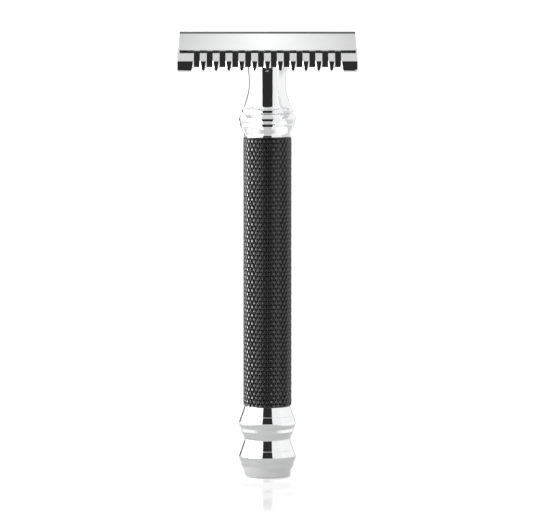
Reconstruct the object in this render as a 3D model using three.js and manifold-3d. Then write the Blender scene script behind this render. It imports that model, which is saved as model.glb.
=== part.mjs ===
// Double-edge safety razor with an open comb, standing on its pommel.
// Millimetres, +Z up. The origin is the centre of the pommel's flat underside.
// +X runs along the head's long side, and the head's two cutting edges face -Y and +Y.

import * as THREE from 'three';
import { mergeVertices } from 'three/addons/utils/BufferGeometryUtils.js';
import Module from 'manifold-3d';

const wasm = await Module();
wasm.setup();

// ---------------------------------------------------------------- driving dimensions

const SEGMENTS = 32; // sides of every turned piece
const FIT_GAP = 0.05; // gap between pieces that seat on or in each other

// Heights of the joints between the pieces of the handle
const SLEEVE_BOTTOM = 17.2;
const SLEEVE_TOP = 82.4;
const FERRULE_TOP = 88;
const HEAD_SEAT = 99.4; // the comb plate's underside, where the neck's top face meets it
const CROWN = 107.76; // top of the cap, the razor's full height

// Handle
const SLEEVE_RADIUS = 5.85;
const SLEEVE_CHAMFER = 0.3;
const SLEEVE_BORE = 2.8;
const SPIGOT_RADIUS = 4.7; // on the neck and on the pommel, inside the sleeve
const SPIGOT_LENGTH = 9.5;
const SOCKET_DEPTH = 10;
const WAIST_RADIUS = 5.6; // thinnest part of the pommel
const POMMEL_FOOT_RADIUS = 5.15; // the flat that the razor stands on
const POMMEL_EDGE = 0.15; // height of the rounded edge below the first bulb
const BULB_PITCH = 8.28;

// Sealing rings on the spigots
const RING_RADIUS = 4.28;
const RING_SECTION = 0.4;
const RING_GROOVE_WIDTH = 1;
const RING_GROOVE_RADIUS = 3.84;
const RING_SETBACK = 2; // from the sleeve's end to the ring

// M5 threads: pieces are drawn at the thread's crest, bores just outside it
const THREAD_RADIUS = 2.45;
const THREAD_BORE = 2.52;
const ROD_BOTTOM = 7;
const ROD_TOP = 86.5;
const ROD_HOLE_SPARE = 0.6; // room past each end of the tie rod
const BUSH_RADIUS = 3.5;
const BUSH_BOTTOM = 88.9;
const BUSH_RECESS = 0.3; // the bush stops short of the neck's top face
const STUD_BOTTOM = 90;

// Bed: the arch where the cap meets the comb plate, and which bends the blade between them
const BED_RADIUS = 24.95;
const BED_CENTRE = 80.368; // height of the arch's centre
const BED_HALF_WIDTH = 9.6;

// Cap
const CAP_LENGTH = 42.3;
const CAP_HALF_WIDTH = 10.3;
const CAP_EDGE_TOP = 103.48;
const CAP_UNDER_HALF_WIDTH = 9.98; // the lip's end face slopes in to the underside
const STUD_SEAT = 106.8; // top of the stud inside the cap
const PIN_RADIUS = 1.3;
const PIN_SPACING = 22; // between the two locating pins
const PIN_TOP = 106.7;
const PIN_BOTTOM = 101.2;

// Comb plate
const PLATE_LENGTH = 43;
const GAP_COUNT = 12; // gaps between the teeth along each edge
const GAP_PITCH = 3.064;
const GAP_WIDTH = 1.44;
const GAP_ROOT = 8.3; // distance of the gaps' back walls from the middle of the plate
const TOOTH_TAPER_START = 11.84;
const TOOTH_REACH = 12.15;
const TOOTH_TIP = 98.4;
const TOOTH_FACE_WIDTH = 0.7;
const PLATE_STUD_HOLE = 2.75;
const PLATE_PIN_HOLE = 1.5;

// ---------------------------------------------------------------- materials

const chrome = { color: 0xd6d8da, roughness: 0.06, metalness: 1 };
const blackCoat = { color: 0x141415, roughness: 0.38, metalness: 0.6 };
const brass = { color: 0xc9a552, roughness: 0.28, metalness: 1 };
const steel = { color: 0xb4b6b8, roughness: 0.3, metalness: 1 };
const rubber = { color: 0x1b1b1b, roughness: 0.8, metalness: 0 };

// ---------------------------------------------------------------- geometry helpers

const signedVolume = (geometry) => {
  const place = geometry.getAttribute('position');
  const index = geometry.getIndex();
  const corner = [new THREE.Vector3(), new THREE.Vector3(), new THREE.Vector3()];
  let sum = 0;
  for (let i = 0; i < index.count; i += 3) {
    corner.forEach((point, k) => point.fromBufferAttribute(place, index.getX(i + k)));
    sum += corner[0].dot(corner[1].cross(corner[2]));
  }
  return sum / 6;
};

// A closed geometry with shared vertices merged, no empty triangles, and faces outward.
const welded = (geometry) => {
  geometry.deleteAttribute('normal');
  geometry.deleteAttribute('uv');
  const merged = mergeVertices(geometry, 1e-5);
  const index = merged.getIndex();
  const kept = [];
  for (let i = 0; i < index.count; i += 3) {
    const [a, b, c] = [index.getX(i), index.getX(i + 1), index.getX(i + 2)];
    if (a !== b && b !== c && c !== a) {
      kept.push(a, b, c);
    }
  }
  merged.setIndex(kept);
  if (signedVolume(merged) < 0) {
    merged.setIndex(kept.reverse());
  }
  return merged;
};

const toSolid = (geometry) => {
  const merged = welded(geometry);
  const vertProperties = new Float32Array(merged.getAttribute('position').array);
  const triVerts = new Uint32Array(merged.getIndex().array);
  return new wasm.Manifold(new wasm.Mesh({ numProp: 3, vertProperties, triVerts }));
};

const toGeometry = (solid) => {
  const { vertProperties, triVerts } = solid.getMesh();
  const geometry = new THREE.BufferGeometry();
  geometry.setAttribute('position', new THREE.BufferAttribute(vertProperties, 3));
  geometry.setIndex(new THREE.BufferAttribute(triVerts, 1));
  return geometry;
};

// An outline in (radius, height). [r, z] is a straight line to that point, and
// [cr, cz, r, z] is a curve to (r, z) that is pulled towards (cr, cz).
const CURVE_STEPS = 3;
const outlinePoints = (steps) => {
  const path = new THREE.Path();
  path.moveTo(...steps[0]);
  for (const step of steps.slice(1)) {
    if (step.length === 2) {
      path.lineTo(...step);
    } else {
      path.quadraticCurveTo(...step);
    }
  }
  return path.getPoints(CURVE_STEPS);
};

// Turns an outline about the Z axis. An outline that isn't closed by the axis is closed
// by returning to its first point.
const turned = (steps) => {
  const points = outlinePoints(steps);
  if (points[0].x > 0) {
    points.push(points[0].clone());
  }
  return welded(new THREE.LatheGeometry(points, SEGMENTS).rotateX(Math.PI / 2));
};

// Extrudes an outline drawn in (y, z) along X, centred on x = 0.
const alongX = (points, length) => {
  const shape = new THREE.Shape(points);
  const geometry = new THREE.ExtrudeGeometry(shape, { depth: length, bevelEnabled: false });
  const [toY, toZ, toX] = [[0, 1, 0], [0, 0, 1], [1, 0, 0]].map((a) => new THREE.Vector3(...a));
  geometry.translate(0, 0, -length / 2);
  return geometry.applyMatrix4(new THREE.Matrix4().makeBasis(toY, toZ, toX));
};

// Extrudes an outline drawn in (x, z) along Y, centred on y = 0.
const alongY = (points, length) => {
  const shape = new THREE.Shape(points);
  const geometry = new THREE.ExtrudeGeometry(shape, { depth: length, bevelEnabled: false });
  return geometry.translate(0, 0, -length / 2).rotateX(Math.PI / 2);
};

// Extrudes an outline drawn in (x, y) along Z.
const alongZ = (points, bottom, top) => {
  const shape = new THREE.Shape(points);
  const geometry = new THREE.ExtrudeGeometry(shape, { depth: top - bottom, bevelEnabled: false });
  return geometry.translate(0, 0, bottom);
};

const upright = (radius, bottom, top, x = 0) => {
  const geometry = new THREE.CylinderGeometry(radius, radius, top - bottom, SEGMENTS / 2);
  return geometry.rotateX(Math.PI / 2).translate(x, 0, (top + bottom) / 2);
};

const vectors = (pairs) => pairs.map(([u, v]) => new THREE.Vector2(u, v));

// Points (y, z) on a circle about (0, centre), from one value of y to another.
const ARC_STEPS = 20;
const arch = (radius, centre, from, to) => {
  const startAngle = Math.asin(from / radius);
  const endAngle = Math.asin(to / radius);
  return Array.from({ length: ARC_STEPS + 1 }, (_, i) => {
    const angle = startAngle + ((endAngle - startAngle) * i) / ARC_STEPS;
    return [radius * Math.sin(angle), centre + radius * Math.cos(angle)];
  });
};

const BOTH = [-1, 1];

// ---------------------------------------------------------------- handle

// One of the pommel's two bulbs: a cove, a small step, a bead, a crease and a shoulder.
const bulbOutline = (base) => [
  [WAIST_RADIUS, base + 0.55],
  [WAIST_RADIUS, base + 1.4, 6, base + 1.85],
  [6.38, base + 2.55],
  [6.38, base + 3.35],
  [6.8, base + 3.8, 6.88, base + 4.35],
  [6.9, base + 4.87],
  [6.42, base + 6.33],
  [6.35, base + 6.41],
  [5.66, base + 8.4],
];

// The spigot's outline from its root to its end, with the groove for the sealing ring.
// direction is +1 where the spigot points up and -1 where it points down.
const spigotOutline = (root, direction) => {
  const groove = root + direction * RING_SETBACK;
  const end = root + direction * SPIGOT_LENGTH;
  return [
    [SPIGOT_RADIUS, root],
    [SPIGOT_RADIUS, groove],
    [RING_GROOVE_RADIUS, groove],
    [RING_GROOVE_RADIUS, groove + direction * RING_GROOVE_WIDTH],
    [SPIGOT_RADIUS, groove + direction * RING_GROOVE_WIDTH],
    [SPIGOT_RADIUS, end - direction * 0.4],
    [SPIGOT_RADIUS - 0.4, end],
  ];
};

const POMMEL_TOP = SLEEVE_BOTTOM - FIT_GAP;

const pommelGeometry = () => turned([
  [0, 0],
  [POMMEL_FOOT_RADIUS, 0],
  [WAIST_RADIUS, 0, WAIST_RADIUS, 0.4],
  ...bulbOutline(POMMEL_EDGE),
  ...bulbOutline(POMMEL_EDGE + BULB_PITCH),
  [5.6, POMMEL_TOP],
  ...spigotOutline(POMMEL_TOP, 1),
  [THREAD_BORE, POMMEL_TOP + SPIGOT_LENGTH],
  [THREAD_BORE, ROD_BOTTOM - ROD_HOLE_SPARE],
  [0, ROD_BOTTOM - ROD_HOLE_SPARE - 1.4],
]);

const sleeveGeometry = () => turned([
  [SPIGOT_RADIUS + FIT_GAP, SLEEVE_BOTTOM],
  [SLEEVE_RADIUS - SLEEVE_CHAMFER, SLEEVE_BOTTOM],
  [SLEEVE_RADIUS, SLEEVE_BOTTOM + SLEEVE_CHAMFER],
  [SLEEVE_RADIUS, SLEEVE_TOP - SLEEVE_CHAMFER],
  [SLEEVE_RADIUS - SLEEVE_CHAMFER, SLEEVE_TOP],
  [SPIGOT_RADIUS + FIT_GAP, SLEEVE_TOP],
  [SPIGOT_RADIUS + FIT_GAP, SLEEVE_TOP - SOCKET_DEPTH],
  [SLEEVE_BORE, SLEEVE_TOP - SOCKET_DEPTH - 1],
  [SLEEVE_BORE, SLEEVE_BOTTOM + SOCKET_DEPTH + 1],
  [SPIGOT_RADIUS + FIT_GAP, SLEEVE_BOTTOM + SOCKET_DEPTH],
]);

// The chrome ring that the neck's spigot passes through: a cove, a bead, a groove and a bead.
const FERRULE_BOTTOM = SLEEVE_TOP + FIT_GAP;
const ferruleGeometry = () => turned([
  [SPIGOT_RADIUS + FIT_GAP, FERRULE_BOTTOM],
  [5.6, FERRULE_BOTTOM],
  [5.66, 83.05, 6, 83.65],
  [6.42, 84.6],
  [6.58, 85],
  [6.62, 85.45],
  [6.58, 85.6],
  [6.7, 85.9, 6.86, 86.35],
  [6.9, 86.85],
  [6.84, 87],
  [6.4, 87.9],
  [6.25, FERRULE_TOP],
  [SPIGOT_RADIUS + FIT_GAP, FERRULE_TOP],
]);

// The neck: its top carries the comb plate, its bore the threaded bush, its foot the spigot.
const NECK_BOTTOM = FERRULE_TOP + FIT_GAP;
const NECK_TOP = HEAD_SEAT - FIT_GAP;
const neckGeometry = () => turned([
  [BUSH_RADIUS + FIT_GAP, BUSH_BOTTOM - FIT_GAP],
  [BUSH_RADIUS + FIT_GAP, NECK_TOP],
  [4.65, NECK_TOP],
  [4.75, NECK_TOP - 0.1],
  [4.49, 97.2, 4.49, 95],
  [4.49, 93.2, 5.73, 89.65],
  [5.88, 89.3, 6.06, 89.15],
  [6.22, 88.92],
  [6.17, 88.35],
  [6, NECK_BOTTOM],
  [SPIGOT_RADIUS, NECK_BOTTOM],
  ...spigotOutline(SLEEVE_TOP, -1),
  [THREAD_BORE, SLEEVE_TOP - SPIGOT_LENGTH],
  [THREAD_BORE, ROD_TOP + ROD_HOLE_SPARE],
  [0, ROD_TOP + ROD_HOLE_SPARE + 1],
  [0, BUSH_BOTTOM - FIT_GAP],
]);

const bushGeometry = () => turned([
  [THREAD_BORE, BUSH_BOTTOM],
  [BUSH_RADIUS, BUSH_BOTTOM],
  [BUSH_RADIUS, NECK_TOP - BUSH_RECESS],
  [THREAD_BORE + 0.35, NECK_TOP - BUSH_RECESS],
  [THREAD_BORE, NECK_TOP - BUSH_RECESS - 0.35],
]);

// A threaded rod or stud drawn at its crest radius, with a chamfer at each end.
const rodGeometry = (bottom, top) => turned([
  [0, bottom],
  [THREAD_RADIUS - 0.45, bottom],
  [THREAD_RADIUS, bottom + 0.45],
  [THREAD_RADIUS, top - 0.45],
  [THREAD_RADIUS - 0.45, top],
  [0, top],
]);

const sealRingGeometry = (height) => {
  const ring = new THREE.TorusGeometry(RING_RADIUS, RING_SECTION, 8, SEGMENTS);
  return welded(ring.translate(0, 0, height));
};

// ---------------------------------------------------------------- head

const capOutline = () => {
  const rise = CROWN - CAP_EDGE_TOP;
  const radius = (CAP_HALF_WIDTH ** 2 + rise ** 2) / (2 * rise);
  const under = BED_RADIUS + FIT_GAP;
  return vectors([
    ...arch(radius, CROWN - radius, -CAP_HALF_WIDTH, CAP_HALF_WIDTH),
    ...arch(under, BED_CENTRE, CAP_UNDER_HALF_WIDTH, -CAP_UNDER_HALF_WIDTH),
  ]);
};

const capGeometry = () => {
  let solid = toSolid(alongX(capOutline(), CAP_LENGTH));
  solid = solid.subtract(toSolid(upright(THREAD_RADIUS + FIT_GAP, 100, STUD_SEAT + FIT_GAP)));
  for (const side of BOTH) {
    const x = (side * PIN_SPACING) / 2;
    solid = solid.subtract(toSolid(upright(PIN_RADIUS + FIT_GAP, 100, PIN_TOP + FIT_GAP, x)));
  }
  return toGeometry(solid);
};

const pinGeometry = (side) => {
  const pin = turned([
    [0, PIN_BOTTOM],
    [PIN_RADIUS - 0.5, PIN_BOTTOM],
    [PIN_RADIUS, PIN_BOTTOM, PIN_RADIUS, PIN_BOTTOM + 0.6],
    [PIN_RADIUS, PIN_TOP],
    [0, PIN_TOP],
  ]);
  return pin.translate((side * PIN_SPACING) / 2, 0, 0);
};

// The comb plate's section across the head: an arched bed for the blade between two rows
// of teeth, each with a sloping top, an upright face and a hooked tip.
const toothOutline = (side) => [
  [side * 10.45, 102.58],
  [side * 11.95, 100.92],
  [side * TOOTH_REACH, TOOTH_TIP + 0.6],
  [side * 12, TOOTH_TIP + 0.2],
  [side * 11.6, TOOTH_TIP],
  [side * 11, TOOTH_TIP + 0.3],
  [side * 10.4, TOOTH_TIP + 0.75],
  [side * 10, HEAD_SEAT],
];

const plateSection = () => vectors([
  ...arch(BED_RADIUS, BED_CENTRE, -BED_HALF_WIDTH, BED_HALF_WIDTH),
  ...toothOutline(1),
  ...toothOutline(-1).reverse(),
]);

// The comb plate seen along Y: straight ends whose upper corners draw in behind the cap.
const plateFront = () => {
  const half = PLATE_LENGTH / 2;
  const rightSide = [
    [half - 0.25, TOOTH_TIP - 0.1],
    [half, TOOTH_TIP + 0.7],
    [half, 102.9],
    [half - 0.12, 103.7],
    [half - 0.45, 104.5],
    [half - 0.5, 106.5],
  ];
  const leftSide = rightSide.map(([x, z]) => [-x, z]).reverse();
  return vectors([...rightSide, ...leftSide]);
};

// One gap seen from above: parallel walls, then a flare that gives the teeth their taper.
const gapCutter = (centre, side) => {
  const mouth = TOOTH_REACH + 1;
  const flare = (GAP_PITCH - TOOTH_FACE_WIDTH - GAP_WIDTH) / 2;
  const flareAtMouth = (flare * (mouth - TOOTH_TAPER_START)) / (TOOTH_REACH - TOOTH_TAPER_START);
  const wall = GAP_WIDTH / 2;
  const outline = vectors([
    [centre - wall, side * GAP_ROOT],
    [centre + wall, side * GAP_ROOT],
    [centre + wall, side * TOOTH_TAPER_START],
    [centre + wall + flareAtMouth, side * mouth],
    [centre - wall - flareAtMouth, side * mouth],
    [centre - wall, side * TOOTH_TAPER_START],
  ]);
  return toSolid(alongZ(outline, TOOTH_TIP - 1, CROWN));
};

// The notch that narrows the hooked tips of the two teeth beside a gap, seen along Y.
const tipCutter = (centre) => {
  const full = (GAP_PITCH - TOOTH_FACE_WIDTH) / 2;
  const outline = vectors([
    [centre - full - 0.22, TOOTH_TIP - 0.5],
    [centre + full + 0.22, TOOTH_TIP - 0.5],
    [centre + full + 0.12, TOOTH_TIP + 0.25],
    [centre + full - 0.1, TOOTH_TIP + 1],
    [centre - full + 0.1, TOOTH_TIP + 1],
    [centre - full - 0.12, TOOTH_TIP + 0.25],
  ]);
  return outline;
};

const combPlateGeometry = () => {
  let solid = toSolid(alongX(plateSection(), PLATE_LENGTH));
  solid = solid.intersect(toSolid(alongY(plateFront(), 30)));
  const tipDepth = 3.15;
  const tipMiddle = TOOTH_REACH - 1.95 + tipDepth / 2;
  for (let i = 0; i < GAP_COUNT; i += 1) {
    const centre = (i - (GAP_COUNT - 1) / 2) * GAP_PITCH;
    for (const side of BOTH) {
      solid = solid.subtract(gapCutter(centre, side));
      const tip = alongY(tipCutter(centre), tipDepth).translate(0, side * tipMiddle, 0);
      solid = solid.subtract(toSolid(tip));
    }
  }
  solid = solid.subtract(toSolid(upright(PLATE_STUD_HOLE, 95, CROWN)));
  for (const side of BOTH) {
    const x = (side * PIN_SPACING) / 2;
    solid = solid.subtract(toSolid(upright(PLATE_PIN_HOLE, 95, CROWN, x)));
  }
  return toGeometry(solid);
};

// ---------------------------------------------------------------- assembly

const razor = new THREE.Group();

const addPiece = (group, name, geometry, finish) => {
  const mesh = new THREE.Mesh(geometry, new THREE.MeshStandardMaterial(finish));
  mesh.name = name;
  group.add(mesh);
};

const handle = new THREE.Group();
const ringOffset = RING_SETBACK + RING_GROOVE_WIDTH / 2;
addPiece(handle, 'pommel', pommelGeometry(), chrome);
addPiece(handle, 'pommel_seal_ring', sealRingGeometry(POMMEL_TOP + ringOffset), rubber);
addPiece(handle, 'knurled_sleeve', sleeveGeometry(), blackCoat);
addPiece(handle, 'tie_rod', rodGeometry(ROD_BOTTOM, ROD_TOP), steel);
addPiece(handle, 'neck_seal_ring', sealRingGeometry(SLEEVE_TOP - ringOffset), rubber);
addPiece(handle, 'neck_ferrule', ferruleGeometry(), chrome);
addPiece(handle, 'neck', neckGeometry(), chrome);
addPiece(handle, 'threaded_bush', bushGeometry(), brass);
razor.add(handle);

const head = new THREE.Group();
addPiece(head, 'comb_plate', combPlateGeometry(), chrome);
addPiece(head, 'cap', capGeometry(), chrome);
addPiece(head, 'cap_stud', rodGeometry(STUD_BOTTOM, STUD_SEAT), chrome);
addPiece(head, 'locating_pin_left', pinGeometry(-1), chrome);
addPiece(head, 'locating_pin_right', pinGeometry(1), chrome);
razor.add(head);

export default razor;
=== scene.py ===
"""Looks for an open-comb double-edge safety razor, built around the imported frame.

Blender objects are in metres in the frame's axes: +Z up the handle, +X along the head,
-Y towards the camera. Outlines and small sizes are written in millimetres and scaled by MM.
"""

import math

import bmesh
import bpy
from mathutils import Matrix, Vector


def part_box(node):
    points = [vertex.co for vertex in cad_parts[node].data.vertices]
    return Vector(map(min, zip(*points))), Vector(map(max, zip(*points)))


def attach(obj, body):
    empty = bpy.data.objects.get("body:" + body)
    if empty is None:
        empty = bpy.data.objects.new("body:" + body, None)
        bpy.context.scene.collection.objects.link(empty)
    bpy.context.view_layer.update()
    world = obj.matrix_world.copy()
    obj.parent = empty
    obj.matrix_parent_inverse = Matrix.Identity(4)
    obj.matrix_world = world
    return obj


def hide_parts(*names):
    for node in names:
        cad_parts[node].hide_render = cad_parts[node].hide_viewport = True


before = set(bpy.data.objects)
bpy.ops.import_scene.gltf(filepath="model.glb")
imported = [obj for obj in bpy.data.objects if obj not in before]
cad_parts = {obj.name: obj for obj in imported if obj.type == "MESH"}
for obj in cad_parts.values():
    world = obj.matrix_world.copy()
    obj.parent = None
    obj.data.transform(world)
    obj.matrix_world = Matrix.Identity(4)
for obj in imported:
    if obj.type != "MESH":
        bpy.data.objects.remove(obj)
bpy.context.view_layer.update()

# ---------------------------------------------------------------- sizes, in millimetres

MM = 0.001

FIT_GAP = 0.05  # between pieces that touch

# Handle
WAIST_RADIUS = 5.6
FOOT_RADIUS = 5.15
POMMEL_EDGE = 0.15
BULB_PITCH = 8.28
SPIGOT_RADIUS = 4.7
SPIGOT_LENGTH = 9.5
RING_SETBACK = 2.0
RING_GROOVE_WIDTH = 1.0
RING_GROOVE_RADIUS = 3.84
SOCKET_RADIUS = 4.75
SOCKET_DEPTH = 10.0
SLEEVE_BORE = 2.8
ROD_BORE = 2.52
BUSH_BORE = 3.55

# Knurl: two families of helical grooves that leave flat-topped diamonds
DIAMONDS_AROUND = 32
DIAMOND_LENGTH = 2.0
GROOVE_PROFILE = ((0.0, 0.34), (0.26, 0.03), (0.33, 0.0), (0.5, 0.0))  # (share of spacing, depth)
PLAIN_BAND = 0.25  # unknurled rim at each end of the sleeve
RIM_DEPTH = 0.12
RIM_CHAMFER = 0.12

# Head
BED_RADIUS = 24.95  # of the arch where the cap meets the comb plate
BED_CENTRE = 80.368
BED_HALF_WIDTH = 9.6
CAP_HALF_WIDTH = 10.3
CAP_EDGE_TOP = 103.48
CAP_UNDER_HALF_WIDTH = 9.98  # the lip's end face slopes in to the underside
PIN_SPACING = 22.0
PIN_RADIUS = 1.3
THREAD_PITCH = 0.8
THREAD_CREST = 2.45
THREAD_ROOT = 2.0
THREAD_SHAPE = (1.0, 1.0, 0.86, 0.57, 0.28, 0.0, 0.0, 0.28, 0.57, 0.86)  # root 0, crest 1, one turn
STUD_SEGMENTS = 72
STUD_POINT = 0.1  # the stud's end is this much smaller than the thread's root
GAP_COUNT = 12
GAP_PITCH = 3.064
GAP_WIDTH = 1.44
GAP_ROOT = 8.3
TOOTH_TAPER_START = 11.84
TOOTH_REACH = 12.15
TOOTH_TIP = 98.4
TOOTH_FACE_WIDTH = 0.7
TIP_NOTCH_DEPTH = 1.95
CAP_EASE, COMB_EASE = 0.05, 0.045
PLATE_STUD_HOLE = 2.75
PLATE_PIN_HOLE = 1.5


def low(node, axis):
    """A CAD node's lowest coordinate along an axis (0, 1 or 2), in millimetres."""
    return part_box(node)[0][axis] / MM


def high(node, axis):
    """A CAD node's highest coordinate along an axis (0, 1 or 2), in millimetres."""
    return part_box(node)[1][axis] / MM


X, Y, Z = 0, 1, 2
SLEEVE_BOTTOM = low("knurled_sleeve", Z)
SLEEVE_TOP = high("knurled_sleeve", Z)
SLEEVE_RADIUS = high("knurled_sleeve", X)
POMMEL_TOP = SLEEVE_BOTTOM - FIT_GAP
FERRULE_BOTTOM = low("neck_ferrule", Z)
FERRULE_TOP = high("neck_ferrule", Z)
NECK_TOP = high("neck", Z)
HEAD_SEAT = NECK_TOP + FIT_GAP
CROWN = high("cap", Z)
CAP_LENGTH = high("cap", X) - low("cap", X)
PLATE_LENGTH = high("comb_plate", X) - low("comb_plate", X)

# ---------------------------------------------------------------- materials


def new_material(name):
    """An empty node material and its Principled shader."""
    material = bpy.data.materials.new(name)
    material.use_nodes = True
    return material, material.node_tree.nodes["Principled BSDF"]


def add_node(material, kind, **settings):
    node = material.node_tree.nodes.new(kind)
    for key, value in settings.items():
        if key in node.inputs:
            node.inputs[key].default_value = value
        else:
            setattr(node, key, value)
    return node


def link(material, source, target):
    material.node_tree.links.new(source, target)


def object_place(material, stretch=(1, 1, 1)):
    """Coordinates fixed to the piece, stretched along its axes."""
    coordinates = add_node(material, "ShaderNodeTexCoord")
    mapping = add_node(material, "ShaderNodeMapping")
    mapping.inputs["Scale"].default_value = stretch
    link(material, coordinates.outputs["Object"], mapping.inputs["Vector"])
    return mapping.outputs["Vector"]


def noise(material, place, scale, detail=3.0, roughness=0.55):
    texture = add_node(material, "ShaderNodeTexNoise", Scale=scale, Detail=detail)
    texture.inputs["Roughness"].default_value = roughness
    link(material, place, texture.inputs["Vector"])
    return texture.outputs["Fac"]


def mapped(material, value, low_out, high_out, low_in=0.3, high_in=0.7, interpolation="LINEAR"):
    """A value between low_in and high_in, a noise's usual ends, spread from low_out to high_out."""
    spread = add_node(material, "ShaderNodeMapRange", interpolation_type=interpolation)
    for socket, number in zip(("From Min", "From Max", "To Min", "To Max"),
                              (low_in, high_in, low_out, high_out)):
        spread.inputs[socket].default_value = number
    link(material, value, spread.inputs["Value"])
    return spread.outputs["Result"]


def mixed_colour(material, value, dark, light):
    mix = add_node(material, "ShaderNodeMix", data_type="RGBA")
    mix.inputs["A"].default_value = (*dark, 1)
    mix.inputs["B"].default_value = (*light, 1)
    link(material, value, mix.inputs["Factor"])
    return mix.outputs["Result"]


def bump(material, shader, height, strength, distance):
    node = add_node(material, "ShaderNodeBump", Strength=strength, Distance=distance)
    link(material, height, node.inputs["Height"])
    link(material, node.outputs["Normal"], shader.inputs["Normal"])


def chrome_material(name, polish_axis):
    """Polished plating: faint cloudiness, buffing lines and a slight unevenness of surface."""
    material, shader = new_material(name)
    shader.inputs["Metallic"].default_value = 1.0
    stretch = [1.0, 1.0, 1.0]
    stretch[polish_axis] = 0.04
    lines = noise(material, object_place(material, stretch), 9000.0, 2.0)
    cloud = noise(material, object_place(material), 260.0, 4.0)
    tint = mixed_colour(material, mapped(material, cloud, 0, 1), (0.87, 0.875, 0.885), (0.9, 0.9, 0.9))
    link(material, tint, shader.inputs["Base Color"])
    link(material, mapped(material, lines, 0.02, 0.045), shader.inputs["Roughness"])
    bump(material, shader, lines, 0.02, 0.00002)
    return material


def black_coat_material():
    """Satin black coating on the knurl: greyer on the diamonds' edges where handled, darker in the
    grooves as painted shade.
    """
    material, shader = new_material("black_coat")
    place = object_place(material)
    grain = noise(material, place, 5200.0, 3.0)
    wear = noise(material, place, 420.0, 4.0)
    edge = add_node(material, "ShaderNodeNewGeometry").outputs["Pointiness"]
    # Painted shade and wear: grooves and flats stay dark, convex edges turn greyer where the wear noise
    # allows.
    wear_and_shade = add_node(material, "ShaderNodeMath", operation="MULTIPLY")
    link(material, mapped(material, edge, 0.0, 1.0, 0.5, 0.62), wear_and_shade.inputs[0])
    link(material, mapped(material, wear, 0.35, 1.0), wear_and_shade.inputs[1])
    colour = mixed_colour(material, wear_and_shade.outputs["Value"], (0.024, 0.024, 0.0245), (0.04, 0.04, 0.041))
    link(material, colour, shader.inputs["Base Color"])
    link(material, mapped(material, grain, 0.1, 0.17), shader.inputs["Roughness"])
    shader.inputs["IOR"].default_value = 1.65
    bump(material, shader, grain, 0.15, 0.00002)
    return material


def turned_metal_material(name, dark, light, low_rough, high_rough):
    """Machined metal with fine rings from the lathe and mottled colour."""
    material, shader = new_material(name)
    shader.inputs["Metallic"].default_value = 1.0
    rings = noise(material, object_place(material, (0.05, 0.05, 1.0)), 12000.0, 2.0)
    cloud = noise(material, object_place(material), 350.0, 4.0)
    link(material, mixed_colour(material, mapped(material, cloud, 0, 1), dark, light),
         shader.inputs["Base Color"])
    link(material, mapped(material, rings, low_rough, high_rough), shader.inputs["Roughness"])
    bump(material, shader, rings, 0.12, 0.00003)
    return material


def rubber_material():
    material, shader = new_material("seal_rubber")
    speck = noise(material, object_place(material), 4000.0, 4.0)
    link(material, mixed_colour(material, speck, (0.012, 0.012, 0.012), (0.03, 0.03, 0.03)),
         shader.inputs["Base Color"])
    link(material, mapped(material, speck, 0.6, 0.8), shader.inputs["Roughness"])
    bump(material, shader, speck, 0.2, 0.00003)
    return material


TURNED_CHROME = chrome_material("chrome_turned", Z)
FLAT_CHROME = chrome_material("chrome_flat", X)
BLACK_COAT = black_coat_material()
BRASS = turned_metal_material("brass", (0.62, 0.44, 0.17), (0.76, 0.57, 0.26), 0.2, 0.34)
STEEL = turned_metal_material("steel", (0.42, 0.43, 0.44), (0.56, 0.57, 0.58), 0.24, 0.4)
RUBBER = rubber_material()

# ---------------------------------------------------------------- mesh helpers

SEGMENTS = 192  # around a turned piece
CORNER_DEGREES = 12.0  # an outline's sharper turns are rounded
CORNER_STEPS = 4
TURNED_SHARP_DEGREES, KNURL_SHARP_DEGREES, THREAD_SHARP_DEGREES = 40, 22, 35
EASED_DEGREES = 30.0  # a flat piece's sharper edges are bevelled
FLAT_DEGREES = 0.3  # faces closer than this to one plane are merged
MERGE_DISTANCE = 0.002 * MM


def make_object(name, vertices, faces, material):
    """A new object from vertices in millimetres, linked to the scene."""
    mesh = bpy.data.meshes.new(name)
    mesh.from_pydata([[MM * c for c in v] for v in vertices], [], faces)
    mesh.validate()
    mesh.materials.append(material)
    obj = bpy.data.objects.new(name, mesh)
    bpy.context.scene.collection.objects.link(obj)
    return obj


def fix_normals(obj):
    work = bmesh.new()
    work.from_mesh(obj.data)
    bmesh.ops.recalc_face_normals(work, faces=work.faces)
    work.to_mesh(obj.data)
    work.free()


def shade(obj, sharp_degrees):
    """Smooth shading, with edges sharper than the angle kept crisp."""
    obj.data.shade_smooth()
    obj.data.set_sharp_from_angle(angle=math.radians(sharp_degrees))


def curve_outline(steps, samples=14):
    """Points from steps: [r, z] is a line to that point, [cr, cz, r, z] a curve pulled to (cr, cz)."""
    points = [tuple(steps[0])]
    for step in steps[1:]:
        if len(step) == 2:
            points.append(tuple(step))
            continue
        (r0, z0), (rc, zc, r1, z1) = points[-1], step
        for i in range(1, samples + 1):
            t = i / samples
            a, b, c = (1 - t) ** 2, 2 * t * (1 - t), t * t
            points.append((a * r0 + b * rc + c * r1, a * z0 + b * zc + c * z1))
    return points


def rounded(points, radius, closed=False):
    """The outline with each corner that turns more than CORNER_DEGREES eased by a small arc."""
    result = []
    count = len(points)
    for i, corner in enumerate(points):
        if not closed and i in (0, count - 1):
            result.append(corner)
            continue
        here = Vector(corner)
        before, after = Vector(points[i - 1]) - here, Vector(points[(i + 1) % count]) - here
        if min(before.length, after.length) < 1e-6:
            continue
        turn = math.pi - before.angle(after)
        if math.degrees(turn) < CORNER_DEGREES:
            result.append(corner)
            continue
        reach = min(radius * math.tan(turn / 2), 0.45 * before.length, 0.45 * after.length)
        start, end = here + before.normalized() * reach, here + after.normalized() * reach
        for k in range(CORNER_STEPS + 1):
            t = k / CORNER_STEPS
            point = (1 - t) ** 2 * start + 2 * t * (1 - t) * here + t * t * end
            result.append(tuple(point))
    return result


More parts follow.
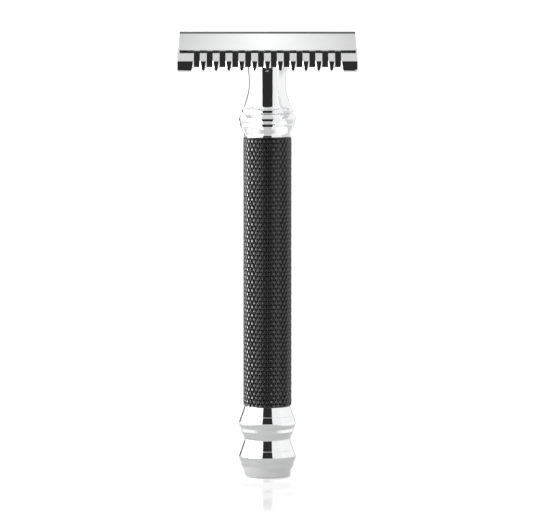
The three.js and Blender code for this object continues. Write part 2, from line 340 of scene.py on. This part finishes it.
def revolve(name, outline, material, segments=SEGMENTS):
    """Turns an outline (r, z) about the Z axis. It starts and ends on the axis, or closes on itself."""
    on_axis = outline[0][0] < 1e-9
    vertices, rings, faces = [], [], []
    for r, z in outline:
        if r < 1e-9:
            rings.append([len(vertices)] * segments)
            vertices.append((0, 0, z))
            continue
        rings.append(list(range(len(vertices), len(vertices) + segments)))
        for k in range(segments):
            angle = 2 * math.pi * k / segments
            vertices.append((r * math.cos(angle), r * math.sin(angle), z))
    pairs = list(zip(rings, rings[1:])) + ([] if on_axis else [(rings[-1], rings[0])])
    for a, b in pairs:
        for k in range(segments):
            n = (k + 1) % segments
            face = list(dict.fromkeys((a[k], a[n], b[n], b[k])))
            if len(face) > 2:
                faces.append(face)
    obj = make_object(name, vertices, faces, material)
    fix_normals(obj)
    shade(obj, TURNED_SHARP_DEGREES)
    return obj


def prism(name, outline, axis, start, end):
    """Extrudes an outline along X, Y or Z. The outline is in the other two axes, in X, Y, Z order."""
    vertices = []
    for along in (start, end):
        for u, v in outline:
            place = [u, v]
            place.insert(axis, along)
            vertices.append(place)
    n = len(outline)
    faces = [list(range(n)), list(range(2 * n - 1, n - 1, -1))]
    faces += [[i, (i + 1) % n, (i + 1) % n + n, i + n] for i in range(n)]
    obj = make_object(name, vertices, faces, FLAT_CHROME)
    fix_normals(obj)
    return obj


def joined(objects):
    """Several objects' meshes as one mesh in the first object."""
    work = bmesh.new()
    for obj in objects:
        work.from_mesh(obj.data)
    work.to_mesh(objects[0].data)
    work.free()
    for obj in objects[1:]:
        bpy.data.objects.remove(obj)
    return objects[0]


def apply_modifiers(obj):
    depsgraph = bpy.context.evaluated_depsgraph_get()
    mesh = bpy.data.meshes.new_from_object(obj.evaluated_get(depsgraph))
    obj.modifiers.clear()
    obj.data = mesh
    return obj


def cut(obj, tool, operation="DIFFERENCE"):
    """Cuts the tool out of obj, or keeps only what they share, and removes the tool."""
    modifier = obj.modifiers.new("cut", "BOOLEAN")
    modifier.operation = operation
    modifier.solver = "EXACT"
    modifier.object = tool
    apply_modifiers(obj)
    bpy.data.objects.remove(tool)
    return obj


def ease_edges(obj, width, segments):
    """Rounds every edge sharper than EASED_DEGREES by a width, after merging flat neighbours."""
    work = bmesh.new()
    work.from_mesh(obj.data)
    bmesh.ops.remove_doubles(work, verts=work.verts, dist=MERGE_DISTANCE)
    flat = math.radians(FLAT_DEGREES)
    bmesh.ops.dissolve_limit(work, angle_limit=flat, verts=work.verts, edges=work.edges)
    work.to_mesh(obj.data)
    work.free()
    modifier = obj.modifiers.new("ease", "BEVEL")
    modifier.width = width * MM
    modifier.segments = segments
    modifier.limit_method = "ANGLE"
    modifier.angle_limit = math.radians(EASED_DEGREES)
    modifier.miter_outer = "MITER_ARC"
    modifier.use_clamp_overlap = True
    modifier.harden_normals = False
    apply_modifiers(obj)
    obj.data.shade_smooth()
    weighted = obj.modifiers.new("weighted", "WEIGHTED_NORMAL")
    weighted.keep_sharp = True
    weighted.weight = 80
    return apply_modifiers(obj)


def circle(radius, x=0.0, count=64):
    return [
        (x + radius * math.cos(2 * math.pi * k / count), radius * math.sin(2 * math.pi * k / count))
        for k in range(count)
    ]


def arch(radius, centre, start, end, count=48):
    """Points (y, z) on a circle about (0, centre), from one value of y to another."""
    a, b = math.asin(start / radius), math.asin(end / radius)
    angles = [a + (b - a) * i / count for i in range(count + 1)]
    return [(radius * math.sin(t), centre + radius * math.cos(t)) for t in angles]


def place(obj, body, slot, *nodes):
    """Rides the piece on its body and hides the CAD nodes that it stands for. The slot is not used."""
    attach(obj, body)
    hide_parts(*nodes)
    return obj


# ---------------------------------------------------------------- handle


def bulb(base):
    """One of the pommel's two bulbs: a cove, a small step, a bead, a crease and a shoulder."""
    return [
        [WAIST_RADIUS, base + 0.55],
        [WAIST_RADIUS, base + 1.4, 6.0, base + 1.85],
        [6.38, base + 2.55],
        [6.38, base + 3.35],
        [6.8, base + 3.8, 6.88, base + 4.35],
        [6.9, base + 4.87],
        [6.42, base + 6.33],
        [6.35, base + 6.41],
        [5.66, base + 8.4],
    ]


def spigot(root, direction):
    """The spigot's outline from its root to its end, with the groove for the sealing ring."""
    groove = root + direction * RING_SETBACK
    groove_end = groove + direction * RING_GROOVE_WIDTH
    end = root + direction * SPIGOT_LENGTH
    return [
        [SPIGOT_RADIUS, root],
        [SPIGOT_RADIUS, groove],
        [RING_GROOVE_RADIUS, groove],
        [RING_GROOVE_RADIUS, groove_end],
        [SPIGOT_RADIUS, groove_end],
        [SPIGOT_RADIUS, end - direction * 0.4],
        [SPIGOT_RADIUS - 0.4, end],
    ]


def build_pommel():
    steps = [[0, 0], [FOOT_RADIUS, 0], [WAIST_RADIUS, 0, WAIST_RADIUS, 0.4]]
    steps += bulb(POMMEL_EDGE) + bulb(POMMEL_EDGE + BULB_PITCH)
    steps += [[WAIST_RADIUS, POMMEL_TOP]] + spigot(POMMEL_TOP, 1)
    rod_seat = low("tie_rod", Z) - 0.6
    steps += [[ROD_BORE, POMMEL_TOP + SPIGOT_LENGTH], [ROD_BORE, rod_seat], [0, rod_seat - 1.4]]
    pommel = revolve("pommel_turned", rounded(curve_outline(steps), 0.12), TURNED_CHROME)
    return place(pommel, "handle", "chrome_plate", "pommel")


def build_ferrule():
    inner = SPIGOT_RADIUS + FIT_GAP
    steps = [
        [inner, FERRULE_BOTTOM],
        [5.6, FERRULE_BOTTOM],
        [5.66, 83.05, 6.0, 83.65],
        [6.42, 84.6],
        [6.58, 85.0],
        [6.62, 85.45],
        [6.58, 85.6],
        [6.7, 85.9, 6.86, 86.35],
        [6.9, 86.85],
        [6.84, 87.0],
        [6.4, 87.9],
        [6.25, FERRULE_TOP],
        [inner, FERRULE_TOP],
    ]
    outline = rounded(curve_outline(steps), 0.06, closed=True)
    ferrule = revolve("neck_ferrule_turned", outline, TURNED_CHROME)
    return place(ferrule, "handle", "chrome_plate", "neck_ferrule")


def build_neck():
    foot = low("neck", Z)
    steps = [
        [BUSH_BORE, low("threaded_bush", Z) - FIT_GAP],
        [BUSH_BORE, NECK_TOP],
        [4.65, NECK_TOP],
        [4.75, NECK_TOP - 0.1],
        [4.49, 97.2, 4.49, 95.0],
        [4.49, 93.2, 5.73, 89.65],
        [5.88, 89.3, 6.06, 89.15],
        [6.22, 88.92],
        [6.17, 88.35],
        [6.0, FERRULE_TOP + FIT_GAP],
        [SPIGOT_RADIUS, FERRULE_TOP + FIT_GAP],
    ]
    steps += spigot(SLEEVE_TOP, -1)
    rod_seat = high("tie_rod", Z) + 0.6
    steps += [[ROD_BORE, foot], [ROD_BORE, rod_seat], [0, rod_seat + 1.0]]
    steps = [[0, low("threaded_bush", Z) - FIT_GAP]] + steps
    neck = revolve("neck_turned", rounded(curve_outline(steps), 0.08), TURNED_CHROME)
    return place(neck, "handle", "chrome_plate", "neck")


def knurl_depth(p, q):
    """Depth below the diamonds' tops where the two groove families count p and q grooves."""
    depth = 0.0
    for count in (p, q):
        from_groove = abs(count - round(count))
        for (near, deep), (far, shallow) in zip(GROOVE_PROFILE, GROOVE_PROFILE[1:]):
            if near <= from_groove <= far:
                share = (from_groove - near) / (far - near)
                depth = max(depth, deep + (shallow - deep) * share)
    return depth


def knurled_skin(low_end, high_end):
    """An open tube of diamonds between two heights, with its mesh lines along the grooves."""
    near, rim = GROOVE_PROFILE[1][0], GROOVE_PROFILE[2][0]
    shares = (0.0, near, rim, 1 - rim, 1 - near)
    turn = len(shares) * DIAMONDS_AROUND
    margin = DIAMOND_LENGTH
    vertices, faces, seen = [], [], {}

    def vertex(i, j):
        turns = i // turn
        key = (i - turns * turn, j - turns * turn)
        if key not in seen:
            p = key[0] // len(shares) + shares[key[0] % len(shares)]
            q = key[1] // len(shares) + shares[key[1] % len(shares)]
            angle = math.pi * (p + q) / DIAMONDS_AROUND
            r = SLEEVE_RADIUS - knurl_depth(p, q)
            z = low_end + DIAMOND_LENGTH * (p - q) / 2
            seen[key] = len(vertices)
            vertices.append((r * math.cos(angle), r * math.sin(angle), z))
        return seen[key]

    span = round(2 * (high_end - low_end + 2 * margin) / DIAMOND_LENGTH) * len(shares)
    ahead = round(2 * margin / DIAMOND_LENGTH) * len(shares)
    for i in range(turn):
        for j in range(i + ahead - span, i + ahead):
            faces.append((vertex(i, j), vertex(i + 1, j), vertex(i + 1, j + 1), vertex(i, j + 1)))
    return vertices, faces


def lengthen(work, edges, rings):
    """Extrudes an open loop of edges through rings (r, z) about the Z axis; returns the last loop."""
    for r, z in rings:
        made = bmesh.ops.extrude_edge_only(work, edges=edges)["geom"]
        for v in made:
            if isinstance(v, bmesh.types.BMVert):
                angle = math.atan2(v.co.y, v.co.x)
                v.co = Vector((r * math.cos(angle), r * math.sin(angle), z)) * MM
        edges = [e for e in made if isinstance(e, bmesh.types.BMEdge)]
    return edges


def build_sleeve():
    """The knurled sleeve: a skin of diamonds, a plain rim at each end, and the bore."""
    knurl_low, knurl_high = SLEEVE_BOTTOM + PLAIN_BAND, SLEEVE_TOP - PLAIN_BAND
    sleeve = make_object("sleeve_knurled", *knurled_skin(knurl_low, knurl_high), BLACK_COAT)
    work = bmesh.new()
    work.from_mesh(sleeve.data)
    for height, up in ((knurl_low, -1), (knurl_high, 1)):
        geometry = work.verts[:] + work.edges[:] + work.faces[:]
        bmesh.ops.bisect_plane(work, geom=geometry, dist=1e-7, plane_co=(0, 0, height * MM),
                               plane_no=(0, 0, up), clear_outer=True)
    bmesh.ops.remove_doubles(work, verts=work.verts, dist=MERGE_DISTANCE)
    middle = (SLEEVE_BOTTOM + SLEEVE_TOP) / 2 * MM
    loops = []
    for end, up in ((SLEEVE_BOTTOM, -1), (SLEEVE_TOP, 1)):
        edge = [e for e in work.edges if e.is_boundary and (e.verts[0].co.z - middle) * up > 0]
        band = SLEEVE_RADIUS - RIM_DEPTH
        rings = [(band, end - up * (PLAIN_BAND - 0.03)), (band, end - up * RIM_CHAMFER)]
        rings += [(band - RIM_CHAMFER, end), (SOCKET_RADIUS, end)]
        rings += [(SOCKET_RADIUS, end - up * SOCKET_DEPTH), (SLEEVE_BORE, end - up * (SOCKET_DEPTH + 1))]
        loops += lengthen(work, edge, rings)
    bmesh.ops.bridge_loops(work, edges=loops)
    bmesh.ops.recalc_face_normals(work, faces=work.faces)
    work.to_mesh(sleeve.data)
    work.free()
    shade(sleeve, KNURL_SHARP_DEGREES)
    return place(sleeve, "handle", "black_coat", "knurled_sleeve")


# ---------------------------------------------------------------- head


def build_cap():
    rise = CROWN - CAP_EDGE_TOP
    radius = (CAP_HALF_WIDTH**2 + rise**2) / (2 * rise)
    outline = arch(radius, CROWN - radius, -CAP_HALF_WIDTH, CAP_HALF_WIDTH, 96)
    outline += arch(BED_RADIUS + FIT_GAP, BED_CENTRE, CAP_UNDER_HALF_WIDTH, -CAP_UNDER_HALF_WIDTH, 48)
    cap = prism("cap_arched", outline, X, -CAP_LENGTH / 2, CAP_LENGTH / 2)
    ease_edges(cap, CAP_EASE, 3)
    return place(cap, "cap", "chrome_plate", "cap")


def stud_grid():
    """The threaded surface as a grid sheared along the helix, so that the crests stay crisp."""
    bottom, top = low("cap_stud", Z), high("cap_stud", Z)
    per_turn = len(THREAD_SHAPE)
    step = THREAD_PITCH / per_turn
    rows = round((top - bottom) / step) + 2 * per_turn
    vertices, faces = [], []
    for j in range(rows + 1):
        for k in range(STUD_SEGMENTS):
            z = bottom + (j - per_turn) * step + THREAD_PITCH * k / STUD_SEGMENTS
            z = min(max(z, bottom), top)
            r = THREAD_ROOT + (THREAD_CREST - THREAD_ROOT) * THREAD_SHAPE[j % per_turn]
            r = min(r, THREAD_ROOT - STUD_POINT + (z - bottom))
            angle = 2 * math.pi * k / STUD_SEGMENTS
            vertices.append((r * math.cos(angle), r * math.sin(angle), z))
    for j in range(rows - per_turn):
        for k in range(STUD_SEGMENTS):
            a, d = j * STUD_SEGMENTS + k, (j + 1) * STUD_SEGMENTS + k
            if k < STUD_SEGMENTS - 1:
                b, c = a + 1, d + 1
            else:
                b, c = (j + per_turn) * STUD_SEGMENTS, (j + per_turn + 1) * STUD_SEGMENTS
            faces.append((a, b, c, d))
    return vertices, faces


def build_stud():
    """The cap's M5 stud: the threaded surface, closed at both ends."""
    vertices, faces = stud_grid()
    stud = make_object("cap_stud_threaded", vertices, faces, TURNED_CHROME)
    work = bmesh.new()
    work.from_mesh(stud.data)
    bmesh.ops.remove_doubles(work, verts=work.verts, dist=0.001 * MM)
    loose = [v for v in work.verts if not v.link_faces]
    bmesh.ops.delete(work, geom=loose, context="VERTS")
    bmesh.ops.holes_fill(work, edges=[e for e in work.edges if e.is_boundary], sides=0)
    bmesh.ops.recalc_face_normals(work, faces=work.faces)
    work.to_mesh(stud.data)
    work.free()
    shade(stud, THREAD_SHARP_DEGREES)
    return place(stud, "cap", "chrome_plate", "cap_stud")


def build_pin(node, name):
    bottom, top = low(node, Z), high(node, Z)
    steps = [
        [0, bottom],
        [PIN_RADIUS - 0.6, bottom],
        [PIN_RADIUS, bottom, PIN_RADIUS, bottom + 0.7],
        [PIN_RADIUS, top],
        [0, top],
    ]
    pin = revolve(name, rounded(curve_outline(steps), 0.06), TURNED_CHROME, 64)
    middle = (low(node, X) + high(node, X)) / 2
    pin.data.transform(Matrix.Translation((middle * MM, 0, 0)))
    return place(pin, "cap", "chrome_plate", node)


def tooth_side(side):
    """One side's tooth outline (y, z): sloping top, upright face and hooked tip."""
    return [
        (side * 10.45, 102.58),
        (side * 11.95, 100.92),
        (side * TOOTH_REACH, TOOTH_TIP + 0.6),
        (side * 12.0, TOOTH_TIP + 0.2),
        (side * 11.6, TOOTH_TIP),
        (side * 11.0, TOOTH_TIP + 0.3),
        (side * 10.4, TOOTH_TIP + 0.75),
        (side * 10.0, HEAD_SEAT),
    ]


def plate_front():
    """The comb plate seen along Y: straight ends whose upper corners draw in behind the cap."""
    half = PLATE_LENGTH / 2
    right = [
        [half - 0.25, TOOTH_TIP - 0.1],
        [half - 0.02, TOOTH_TIP + 0.1, half, TOOTH_TIP + 0.7],
        [half, 102.9],
        [half, 103.9, half - 0.45, 104.5],
        [half - 0.5, 106.5],
    ]
    right = curve_outline(right, 6)
    return right + [(-x, z) for x, z in reversed(right)]


def gap_outline(centre, side):
    """One gap seen from above: parallel walls, then a flare that gives the teeth their taper."""
    mouth = TOOTH_REACH + 1
    flare = (GAP_PITCH - TOOTH_FACE_WIDTH - GAP_WIDTH) / 2
    flare *= (mouth - TOOTH_TAPER_START) / (TOOTH_REACH - TOOTH_TAPER_START)
    wall = GAP_WIDTH / 2
    return [
        (centre - wall, side * GAP_ROOT),
        (centre + wall, side * GAP_ROOT),
        (centre + wall, side * TOOTH_TAPER_START),
        (centre + wall + flare, side * mouth),
        (centre - wall - flare, side * mouth),
        (centre - wall, side * TOOTH_TAPER_START),
    ]


def tip_outline(centre):
    """The notch that narrows the hooked tips of the two teeth beside a gap, seen along Y."""
    full = (GAP_PITCH - TOOTH_FACE_WIDTH) / 2
    return [
        (centre - full - 0.22, TOOTH_TIP - 0.5),
        (centre + full + 0.22, TOOTH_TIP - 0.5),
        (centre + full + 0.12, TOOTH_TIP + 0.25),
        (centre + full - 0.1, TOOTH_TIP + 1.0),
        (centre - full + 0.1, TOOTH_TIP + 1.0),
        (centre - full - 0.12, TOOTH_TIP + 0.25),
    ]


def build_comb():
    section = arch(BED_RADIUS, BED_CENTRE, -BED_HALF_WIDTH, BED_HALF_WIDTH, 40)
    section += tooth_side(1) + tooth_side(-1)[::-1]
    comb = prism("comb_cut", section, X, -PLATE_LENGTH / 2 - 1, PLATE_LENGTH / 2 + 1)
    cut(comb, prism("front", plate_front(), Y, -20, 20), "INTERSECT")
    centres = [(i - (GAP_COUNT - 1) / 2) * GAP_PITCH for i in range(GAP_COUNT)]
    gaps = [prism("gap", gap_outline(c, s), Z, TOOTH_TIP - 2, CROWN) for c in centres for s in (-1, 1)]
    cut(comb, joined(gaps))
    inner, outer = TOOTH_REACH - TIP_NOTCH_DEPTH, TOOTH_REACH + 1.2
    tips = [
        prism("tip", tip_outline(c), Y, *sorted((s * inner, s * outer))) for c in centres for s in (-1, 1)
    ]
    cut(comb, joined(tips))
    holes = [prism("hole", circle(PLATE_STUD_HOLE), Z, 95, CROWN)]
    holes += [prism("hole", circle(PLATE_PIN_HOLE, s * PIN_SPACING / 2), Z, 95, CROWN) for s in (-1, 1)]
    cut(comb, joined(holes))
    ease_edges(comb, COMB_EASE, 2)
    return place(comb, "comb", "chrome_plate", "comb_plate")


# ---------------------------------------------------------------- assembly

build_pommel()
build_ferrule()
build_neck()
build_sleeve()
build_cap()
build_stud()
build_pin("locating_pin_left", "pin_left_turned")
build_pin("locating_pin_right", "pin_right_turned")
build_comb()

KEPT_NODES = {
    "tie_rod": STEEL,
    "threaded_bush": BRASS,
    "neck_seal_ring": RUBBER,
    "pommel_seal_ring": RUBBER,
}
for node_name, finish in KEPT_NODES.items():
    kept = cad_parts[node_name]
    kept.data.materials.clear()
    kept.data.materials.append(finish)

# ---------------------------------------------------------------- studio

scene = bpy.context.scene
scene.view_settings.view_transform = "Standard"
scene.view_settings.look = "None"

# The floor's zones: centre y, half width and half length in metres
ZONE_FADE = (0.6, 1.25)  # a zone ends between these shares of its half widths
FLOOR_ROUGHNESS = 0.08
FLOOR_RADIUS = 9000.0
SEEN_ALBEDO, SEEN_ZONE, SEEN_MIRROR, SEEN_GLOW = 0.88, (-0.03, 0.015, 0.04), 0.3, (0.27, 0.6)
NEAR_RADIUS = 150.0
# The near floor's weaker glow under the razor is painted shade, seen only in the chrome.
NEAR_ALBEDO, NEAR_ZONE, NEAR_MIRROR, NEAR_GLOW = 0.8, (0, 0.055, 1), 0.0, (0.14, 0.62)


def floor_material(name, albedo, zone, mirror_strength, glow_strengths):
    """White sheet that glows. In a zone (centre y, half width, half length) it is a weak mirror.

    The zone is in metres. The glow goes from its first strength in the zone to its second outside. On the
    near floor the weaker glow in the zone is painted shade under the razor.
    """
    material, shader = new_material(name)
    tree = material.node_tree
    tree.nodes.remove(shader)
    centre, half_width, half_length = zone
    mapping = add_node(material, "ShaderNodeMapping")
    mapping.inputs["Scale"].default_value = (1 / half_width, 1 / half_length, 0)
    mapping.inputs["Location"].default_value = (0, -centre / half_length, 0)
    link(material, add_node(material, "ShaderNodeTexCoord").outputs["Object"], mapping.inputs["Vector"])
    reach = add_node(material, "ShaderNodeVectorMath", operation="LENGTH")
    link(material, mapping.outputs["Vector"], reach.inputs[0])
    share = reach.outputs["Value"]
    diffuse = add_node(material, "ShaderNodeBsdfDiffuse")
    diffuse.inputs["Color"].default_value = (albedo, albedo, albedo, 1)
    glow = add_node(material, "ShaderNodeEmission")
    strength = mapped(material, share, *glow_strengths, *ZONE_FADE, "SMOOTHSTEP")
    link(material, strength, glow.inputs["Strength"])
    mirror = add_node(material, "ShaderNodeBsdfGlossy")
    mirror.inputs["Roughness"].default_value = FLOOR_ROUGHNESS
    faded = mapped(material, share, mirror_strength, 0.0, *ZONE_FADE, "SMOOTHSTEP")
    link(material, faded, mirror.inputs["Color"])
    first = add_node(material, "ShaderNodeAddShader")
    second = add_node(material, "ShaderNodeAddShader")
    link(material, diffuse.outputs[0], first.inputs[0])
    link(material, glow.outputs[0], first.inputs[1])
    link(material, first.outputs[0], second.inputs[0])
    link(material, mirror.outputs[0], second.inputs[1])
    link(material, second.outputs[0], tree.nodes["Material Output"].inputs["Surface"])
    return material


def floor_disc(name, radius, height, material):
    ring = [(x, y, height) for x, y in circle(radius, count=96)]
    disc = make_object(name, ring, [list(range(len(ring)))], material)
    return disc


def build_floor():
    """The floor that the camera sees, and a nearer one that only the razor's chrome reflects."""
    seen = floor_material("floor_white", SEEN_ALBEDO, SEEN_ZONE, SEEN_MIRROR, SEEN_GLOW)
    floor = floor_disc("floor", FLOOR_RADIUS, -0.01, seen)
    floor.visible_glossy = False
    floor.visible_diffuse = False
    floor.visible_shadow = False
    reflected = floor_material("floor_near_white", NEAR_ALBEDO, NEAR_ZONE, NEAR_MIRROR, NEAR_GLOW)
    near_floor = floor_disc("floor_near", NEAR_RADIUS, -0.03, reflected)
    near_floor.visible_camera = False


build_floor()


def glow_material(name, strength, falloff=None):
    """An evenly lit card, or one that fades from x = 0 to another strength: (distance, strength)."""
    material, shader = new_material(name)
    tree = material.node_tree
    tree.nodes.remove(shader)
    glow = add_node(material, "ShaderNodeEmission", Strength=strength)
    if falloff:
        reach, far_strength = falloff
        parts = add_node(material, "ShaderNodeSeparateXYZ")
        link(material, add_node(material, "ShaderNodeTexCoord").outputs["Object"], parts.inputs[0])
        distance = add_node(material, "ShaderNodeMath", operation="ABSOLUTE")
        link(material, parts.outputs["X"], distance.inputs[0])
        faded = mapped(material, distance.outputs["Value"], strength, far_strength, 0.0, reach)
        link(material, faded, glow.inputs["Strength"])
    link(material, glow.outputs[0], tree.nodes["Material Output"].inputs["Surface"])
    return material


def light_card(name, corners, material):
    """A staged card that lights the razor but isn't seen by the camera."""
    card = make_object(name, corners, [list(range(len(corners)))], material)
    card.visible_camera = False
    return card


def mirrored_only(card):
    """Leaves a card only in reflections, so that it throws no light or shadow on the floor."""
    card.visible_diffuse = False
    card.visible_shadow = False


# Overhead: a wide card, brightest along its middle line, and a dimmer one low in front
OVERHEAD_CORNERS = [(-900, -150, 600), (900, -150, 600), (900, 830, 600), (-900, 830, 600)]
OVERHEAD_STRENGTH, OVERHEAD_FALLOFF = 1.14, (0.034, 0.7)
FRONT_CORNERS = [(-43, -20, 285), (43, -20, 285), (108, -235, 285), (-108, -235, 285)]
FRONT_STRENGTH = 0.74

# Two tall cards face the razor with a gap between them for the camera, seen in the chrome as a
# dark stripe. The gap is narrow low down, beside the pommel, and wider beside the neck.
CARD_DISTANCE = 70
OPENING_BY_POMMEL, OPENING_BY_NECK, OPENING_ABOVE = 27, 43, 35  # half widths
CARD_OUTER = 280  # half the distance between the cards' outer edges
CARD_BOTTOM, CARD_TOP = -60, 400
CARD_EDGE = [  # (height, half width of the gap)
    (CARD_BOTTOM, OPENING_BY_POMMEL),
    (76, OPENING_BY_POMMEL),
    (80, OPENING_BY_NECK),
    (120, OPENING_BY_NECK),
    (145, OPENING_ABOVE),
    (CARD_TOP, OPENING_ABOVE),
]
CARD_LIGHTS = {"card_left": (-1, 1.0, 5.0), "card_right": (1, 0.95, 1.1)}  # side, inner, outer

# Two bright strips far to the left light the knurl's edges. The space between them is
# what the head's flat left end mirrors when it is seen square on.
STRIP_X = 600
STRIP_BOTTOM, STRIP_TOP = -150, 350
STRIPS = {"strip_front": (-150, -50), "strip_back": (50, 346)}  # from y to y
STRIP_STRENGTH = 12.0


def build_cards():
    light_card("card_overhead", OVERHEAD_CORNERS,
               glow_material("overhead_light", OVERHEAD_STRENGTH, OVERHEAD_FALLOFF))
    light_card("card_front", FRONT_CORNERS, glow_material("front_light", FRONT_STRENGTH))
    for name, (side, inner, outer) in CARD_LIGHTS.items():
        corners = [(side * half, -CARD_DISTANCE, height) for height, half in CARD_EDGE]
        corners += [(side * CARD_OUTER, -CARD_DISTANCE, z) for z in (CARD_TOP, CARD_BOTTOM)]
        light = glow_material(name + "_light", inner, (CARD_OUTER * MM, outer))
        mirrored_only(light_card(name, corners, light))
    for name, (near, far) in STRIPS.items():
        corners = [(-STRIP_X, near, STRIP_BOTTOM), (-STRIP_X, near, STRIP_TOP)]
        corners += [(-STRIP_X, far, STRIP_TOP), (-STRIP_X, far, STRIP_BOTTOM)]
        mirrored_only(light_card(name, corners, glow_material(name + "_light", STRIP_STRENGTH)))


build_cards()

# World: angles in degrees, azimuth from -Y (the front) towards +X. The last number of each edge or
# band is its softness. A share is how dark that part is, where the front and left corner are black.
FRONT_AZIMUTH, FRONT_TOP = (60.0, 1.0), (84.0, 3.0)
LEFT_CORNER, RIGHT_CORNER = (-167.0, -145.0, 2.0), (145.0, 167.0, 2.0)
CORNER_HEIGHTS, RIGHT_CORNER_SHARE = (-12.0, 8.0, 3.0), 0.25
LOW_SIDES, LOW_SIDES_TOP, LOW_SIDES_SHARE = (62.0, 140.0, 6.0), (-7.0, 3.0), 0.28
BEHIND_AZIMUTH, BEHIND_BOTTOM, BEHIND_SHARE = (166.0, 3.0), (10.0, 2.0), 0.88
PANEL_EDGE, PANEL_LEFT, PANEL_RIGHT = (0.0, 20.0), 1.16, 1.0
DARKEST = 0.028


def world_math(tree, operation, *inputs):
    made = tree.nodes.new("ShaderNodeMath")
    made.operation = operation
    for number, value in enumerate(inputs):
        if isinstance(value, (int, float)):
            made.inputs[number].default_value = value
        else:
            tree.links.new(value, made.inputs[number])
    return made.outputs[0]


def world_step(tree, value, edge, low_out=0.0, high_out=1.0):
    """low_out below the edge and high_out above it, with a smooth step between."""
    angle, soft = edge
    step = tree.nodes.new("ShaderNodeMapRange")
    step.interpolation_type = "SMOOTHSTEP"
    tree.links.new(value, step.inputs["Value"])
    for socket, number in zip(("From Min", "From Max", "To Min", "To Max"),
                              (angle - soft, angle + soft, low_out, high_out)):
        step.inputs[socket].default_value = number
    return step.outputs["Result"]


def world_band(tree, value, band):
    """1 between a band's two ends, 0 outside them."""
    start, end, soft = band
    above = world_step(tree, value, (start, soft))
    below = world_step(tree, value, (end, soft), 1.0, 0.0)
    return world_math(tree, "MULTIPLY", above, below)


def darkness(tree, azimuth, elevation):
    """How much of the white is taken away in each direction, from 0 to 1."""
    turn = world_math(tree, "ABSOLUTE", azimuth)
    front = world_math(tree, "MULTIPLY", world_step(tree, turn, FRONT_AZIMUTH, 1.0, 0.0),
                       world_step(tree, elevation, FRONT_TOP, 1.0, 0.0))
    heights = world_band(tree, elevation, CORNER_HEIGHTS)
    left = world_math(tree, "MULTIPLY", world_band(tree, azimuth, LEFT_CORNER), heights)
    right = world_math(tree, "MULTIPLY", world_band(tree, azimuth, RIGHT_CORNER), heights)
    right = world_math(tree, "MULTIPLY", right, RIGHT_CORNER_SHARE)
    sides = world_math(tree, "MULTIPLY", world_band(tree, turn, LOW_SIDES),
                       world_step(tree, elevation, LOW_SIDES_TOP, 1.0, 0.0))
    sides = world_math(tree, "MULTIPLY", sides, LOW_SIDES_SHARE)
    behind = world_math(tree, "MULTIPLY", world_step(tree, turn, BEHIND_AZIMUTH),
                        world_step(tree, elevation, BEHIND_BOTTOM))
    behind = world_math(tree, "MULTIPLY", behind, BEHIND_SHARE)
    darkest = front
    for part in (left, right, sides, behind):
        darkest = world_math(tree, "MAXIMUM", darkest, part)
    return darkest


def white_background(tree):
    background = tree.nodes.new("ShaderNodeBackground")
    background.inputs["Color"].default_value = (1, 1, 1, 1)
    return background


def build_world():
    """White studio with a dark front, corners and a band behind. The camera sees it plain white."""
    world = bpy.data.worlds.new("studio")
    scene.world = world
    world.use_nodes = True
    tree = world.node_tree
    tree.nodes.clear()
    parts = tree.nodes.new("ShaderNodeSeparateXYZ")
    tree.links.new(tree.nodes.new("ShaderNodeTexCoord").outputs["Generated"], parts.inputs[0])
    away = world_math(tree, "MULTIPLY", parts.outputs["Y"], -1.0)
    azimuth = world_math(tree, "ARCTAN2", parts.outputs["X"], away)
    azimuth = world_math(tree, "MULTIPLY", azimuth, math.degrees(1))
    elevation = world_math(tree, "ARCSINE", parts.outputs["Z"])
    elevation = world_math(tree, "MULTIPLY", elevation, math.degrees(1))
    white = world_math(tree, "SUBTRACT", 1.0, darkness(tree, azimuth, elevation))
    panel = world_step(tree, azimuth, PANEL_EDGE, PANEL_LEFT, PANEL_RIGHT)
    strength = world_math(tree, "ADD", world_math(tree, "MULTIPLY", panel, white), DARKEST)
    lamp, plain = white_background(tree), white_background(tree)
    tree.links.new(strength, lamp.inputs["Strength"])
    choose = tree.nodes.new("ShaderNodeMixShader")
    tree.links.new(tree.nodes.new("ShaderNodeLightPath").outputs["Is Camera Ray"], choose.inputs[0])
    tree.links.new(lamp.outputs[0], choose.inputs[1])
    tree.links.new(plain.outputs[0], choose.inputs[2])
    output = tree.nodes.new("ShaderNodeOutputWorld")
    tree.links.new(choose.outputs[0], output.inputs["Surface"])


build_world()

# ---------------------------------------------------------------- camera

CAMERA_DISTANCE = 1.1
CAMERA_PITCH = math.radians(4.3)
AIM = Vector((-0.23 * MM, 0.0, 51.43 * MM))
LENS = 307.2
SENSOR = 36.0

camera_data = bpy.data.cameras.new("camera")
camera_data.lens = LENS
camera_data.sensor_width = SENSOR
camera_data.clip_start = 0.01
camera_data.clip_end = 50.0
camera = bpy.data.objects.new("camera", camera_data)
scene.collection.objects.link(camera)
towards_camera = Vector((0.0, -math.cos(CAMERA_PITCH), math.sin(CAMERA_PITCH)))
camera.location = AIM + CAMERA_DISTANCE * towards_camera
camera.rotation_euler = (math.pi / 2 - CAMERA_PITCH, 0.0, 0.0)
bpy.context.scene.camera = camera
